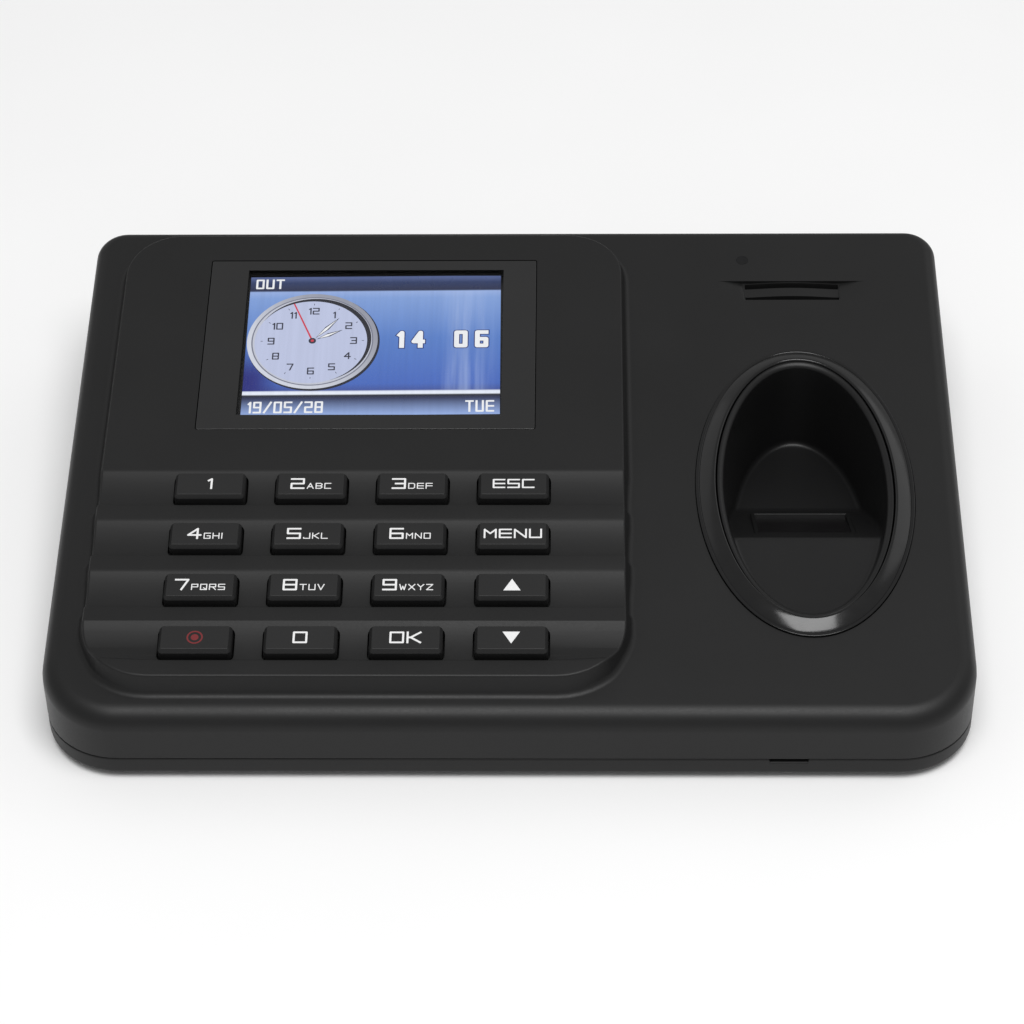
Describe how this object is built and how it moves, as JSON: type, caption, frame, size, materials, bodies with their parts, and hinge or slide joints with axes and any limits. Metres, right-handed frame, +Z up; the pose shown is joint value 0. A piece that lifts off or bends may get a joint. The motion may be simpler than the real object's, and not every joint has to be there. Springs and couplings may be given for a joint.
{
  "type": "desktop fingerprint terminal",
  "caption": "Wedge-shaped desktop fingerprint terminal with a raised display and keypad panel and an oval finger well with an optical reader.",
  "frame": {"origin": "middle of the base, on the surface that the rubber feet stand on", "axes": "+X to the right, +Y from front to back, +Z up"},
  "size_m": [0.166, 0.12, 0.0326],
  "materials": {
    "case_plastic": "black ABS with a fine spark-eroded texture",
    "base_plastic": "black ABS, the same moulding texture",
    "window_acrylic": "smoked acrylic window, printed black behind except over the picture",
    "black_tape": "black double-sided foam tape",
    "display_glass": "lit colour display glass",
    "plated_steel": "tin-plated or zinc-plated steel",
    "flex_film": "amber polyimide film",
    "circuit_board": "green solder mask on glass-epoxy board",
    "chip_resin": "black moulding resin",
    "socket_plastic": "black glass-filled plastic",
    "silicone": "pale grey silicone with carbon pills",
    "key_plastic": "black ABS keycap, satin, white printed legend",
    "key_power_plastic": "black ABS keycap, satin, red printed power mark",
    "ring_gloss": "piano-black gloss plastic",
    "well_plastic": "black satin ABS",
    "reader_glass": "coated optical glass over a red-lit prism",
    "cable_sheath": "thin insulated ribbon and leads",
    "speaker_cone": "black film cone in a plastic frame",
    "status_acrylic": "smoked acrylic light guide",
    "foot_rubber": "black self-adhesive rubber"
  },
  "bodies": {
    "terminal": {"top_case": "case_plastic", "bottom_case": "base_plastic", "display_lens": "window_acrylic", "lens_tape": "black_tape", "display_panel": "display_glass", "display_frame": "plated_steel", "display_flex": "flex_film", "main_board": "circuit_board", "board_chips": "chip_resin", "board_capacitors": "plated_steel", "coin_cell": "plated_steel", "cell_holder": "socket_plastic", "usb_socket": "plated_steel", "power_socket": "socket_plastic", "keypad_mat": "silicone", "well_ring": "ring_gloss", "finger_well": "well_plastic", "reader_window": "reader_glass", "reader_prism": "reader_glass", "reader_housing": "socket_plastic", "reader_board": "circuit_board", "reader_lens": "socket_plastic", "reader_cable": "cable_sheath", "speaker": "speaker_cone", "speaker_cable": "cable_sheath", "status_lens": "status_acrylic", "status_board": "circuit_board", "case_screws": "plated_steel", "board_screws": "plated_steel", "well_screws": "plated_steel", "reader_screws": "plated_steel", "foot_front_left": "foot_rubber", "foot_front_right": "foot_rubber", "foot_back_left": "foot_rubber", "foot_back_right": "foot_rubber"},
    "key_1": {"key_1": "key_plastic"},
    "key_2": {"key_2": "key_plastic"},
    "key_3": {"key_3": "key_plastic"},
    "key_esc": {"key_esc": "key_plastic"},
    "key_4": {"key_4": "key_plastic"},
    "key_5": {"key_5": "key_plastic"},
    "key_6": {"key_6": "key_plastic"},
    "key_menu": {"key_menu": "key_plastic"},
    "key_7": {"key_7": "key_plastic"},
    "key_8": {"key_8": "key_plastic"},
    "key_9": {"key_9": "key_plastic"},
    "key_up": {"key_up": "key_plastic"},
    "key_power": {"key_power": "key_power_plastic"},
    "key_0": {"key_0": "key_plastic"},
    "key_ok": {"key_ok": "key_plastic"},
    "key_down": {"key_down": "key_plastic"}
  },
  "joints": [
    {"name": "key_1_press", "type": "slide", "parent": "terminal", "child": "key_1", "axis": [0, 0.1184, -0.993], "range_m": [0, 0.001], "stiffness_N_per_m": 600, "springref_m": -0.0005, "deforming": ["keypad_mat"]},
    {"name": "key_2_press", "type": "slide", "parent": "terminal", "child": "key_2", "axis": [0, 0.1184, -0.993], "range_m": [0, 0.001], "stiffness_N_per_m": 600, "springref_m": -0.0005, "deforming": ["keypad_mat"]},
    {"name": "key_3_press", "type": "slide", "parent": "terminal", "child": "key_3", "axis": [0, 0.1184, -0.993], "range_m": [0, 0.001], "stiffness_N_per_m": 600, "springref_m": -0.0005, "deforming": ["keypad_mat"]},
    {"name": "key_esc_press", "type": "slide", "parent": "terminal", "child": "key_esc", "axis": [0, 0.1184, -0.993], "range_m": [0, 0.001], "stiffness_N_per_m": 600, "springref_m": -0.0005, "deforming": ["keypad_mat"]},
    {"name": "key_4_press", "type": "slide", "parent": "terminal", "child": "key_4", "axis": [0, 0.1184, -0.993], "range_m": [0, 0.001], "stiffness_N_per_m": 600, "springref_m": -0.0005, "deforming": ["keypad_mat"]},
    {"name": "key_5_press", "type": "slide", "parent": "terminal", "child": "key_5", "axis": [0, 0.1184, -0.993], "range_m": [0, 0.001], "stiffness_N_per_m": 600, "springref_m": -0.0005, "deforming": ["keypad_mat"]},
    {"name": "key_6_press", "type": "slide", "parent": "terminal", "child": "key_6", "axis": [0, 0.1184, -0.993], "range_m": [0, 0.001], "stiffness_N_per_m": 600, "springref_m": -0.0005, "deforming": ["keypad_mat"]},
    {"name": "key_menu_press", "type": "slide", "parent": "terminal", "child": "key_menu", "axis": [0, 0.1184, -0.993], "range_m": [0, 0.001], "stiffness_N_per_m": 600, "springref_m": -0.0005, "deforming": ["keypad_mat"]},
    {"name": "key_7_press", "type": "slide", "parent": "terminal", "child": "key_7", "axis": [0, 0.1184, -0.993], "range_m": [0, 0.001], "stiffness_N_per_m": 600, "springref_m": -0.0005, "deforming": ["keypad_mat"]},
    {"name": "key_8_press", "type": "slide", "parent": "terminal", "child": "key_8", "axis": [0, 0.1184, -0.993], "range_m": [0, 0.001], "stiffness_N_per_m": 600, "springref_m": -0.0005, "deforming": ["keypad_mat"]},
    {"name": "key_9_press", "type": "slide", "parent": "terminal", "child": "key_9", "axis": [0, 0.1184, -0.993], "range_m": [0, 0.001], "stiffness_N_per_m": 600, "springref_m": -0.0005, "deforming": ["keypad_mat"]},
    {"name": "key_up_press", "type": "slide", "parent": "terminal", "child": "key_up", "axis": [0, 0.1184, -0.993], "range_m": [0, 0.001], "stiffness_N_per_m": 600, "springref_m": -0.0005, "deforming": ["keypad_mat"]},
    {"name": "key_power_press", "type": "slide", "parent": "terminal", "child": "key_power", "axis": [0, 0.1184, -0.993], "range_m": [0, 0.001], "stiffness_N_per_m": 600, "springref_m": -0.0005, "deforming": ["keypad_mat"]},
    {"name": "key_0_press", "type": "slide", "parent": "terminal", "child": "key_0", "axis": [0, 0.1184, -0.993], "range_m": [0, 0.001], "stiffness_N_per_m": 600, "springref_m": -0.0005, "deforming": ["keypad_mat"]},
    {"name": "key_ok_press", "type": "slide", "parent": "terminal", "child": "key_ok", "axis": [0, 0.1184, -0.993], "range_m": [0, 0.001], "stiffness_N_per_m": 600, "springref_m": -0.0005, "deforming": ["keypad_mat"]},
    {"name": "key_down_press", "type": "slide", "parent": "terminal", "child": "key_down", "axis": [0, 0.1184, -0.993], "range_m": [0, 0.001], "stiffness_N_per_m": 600, "springref_m": -0.0005, "deforming": ["keypad_mat"]}
  ]
}
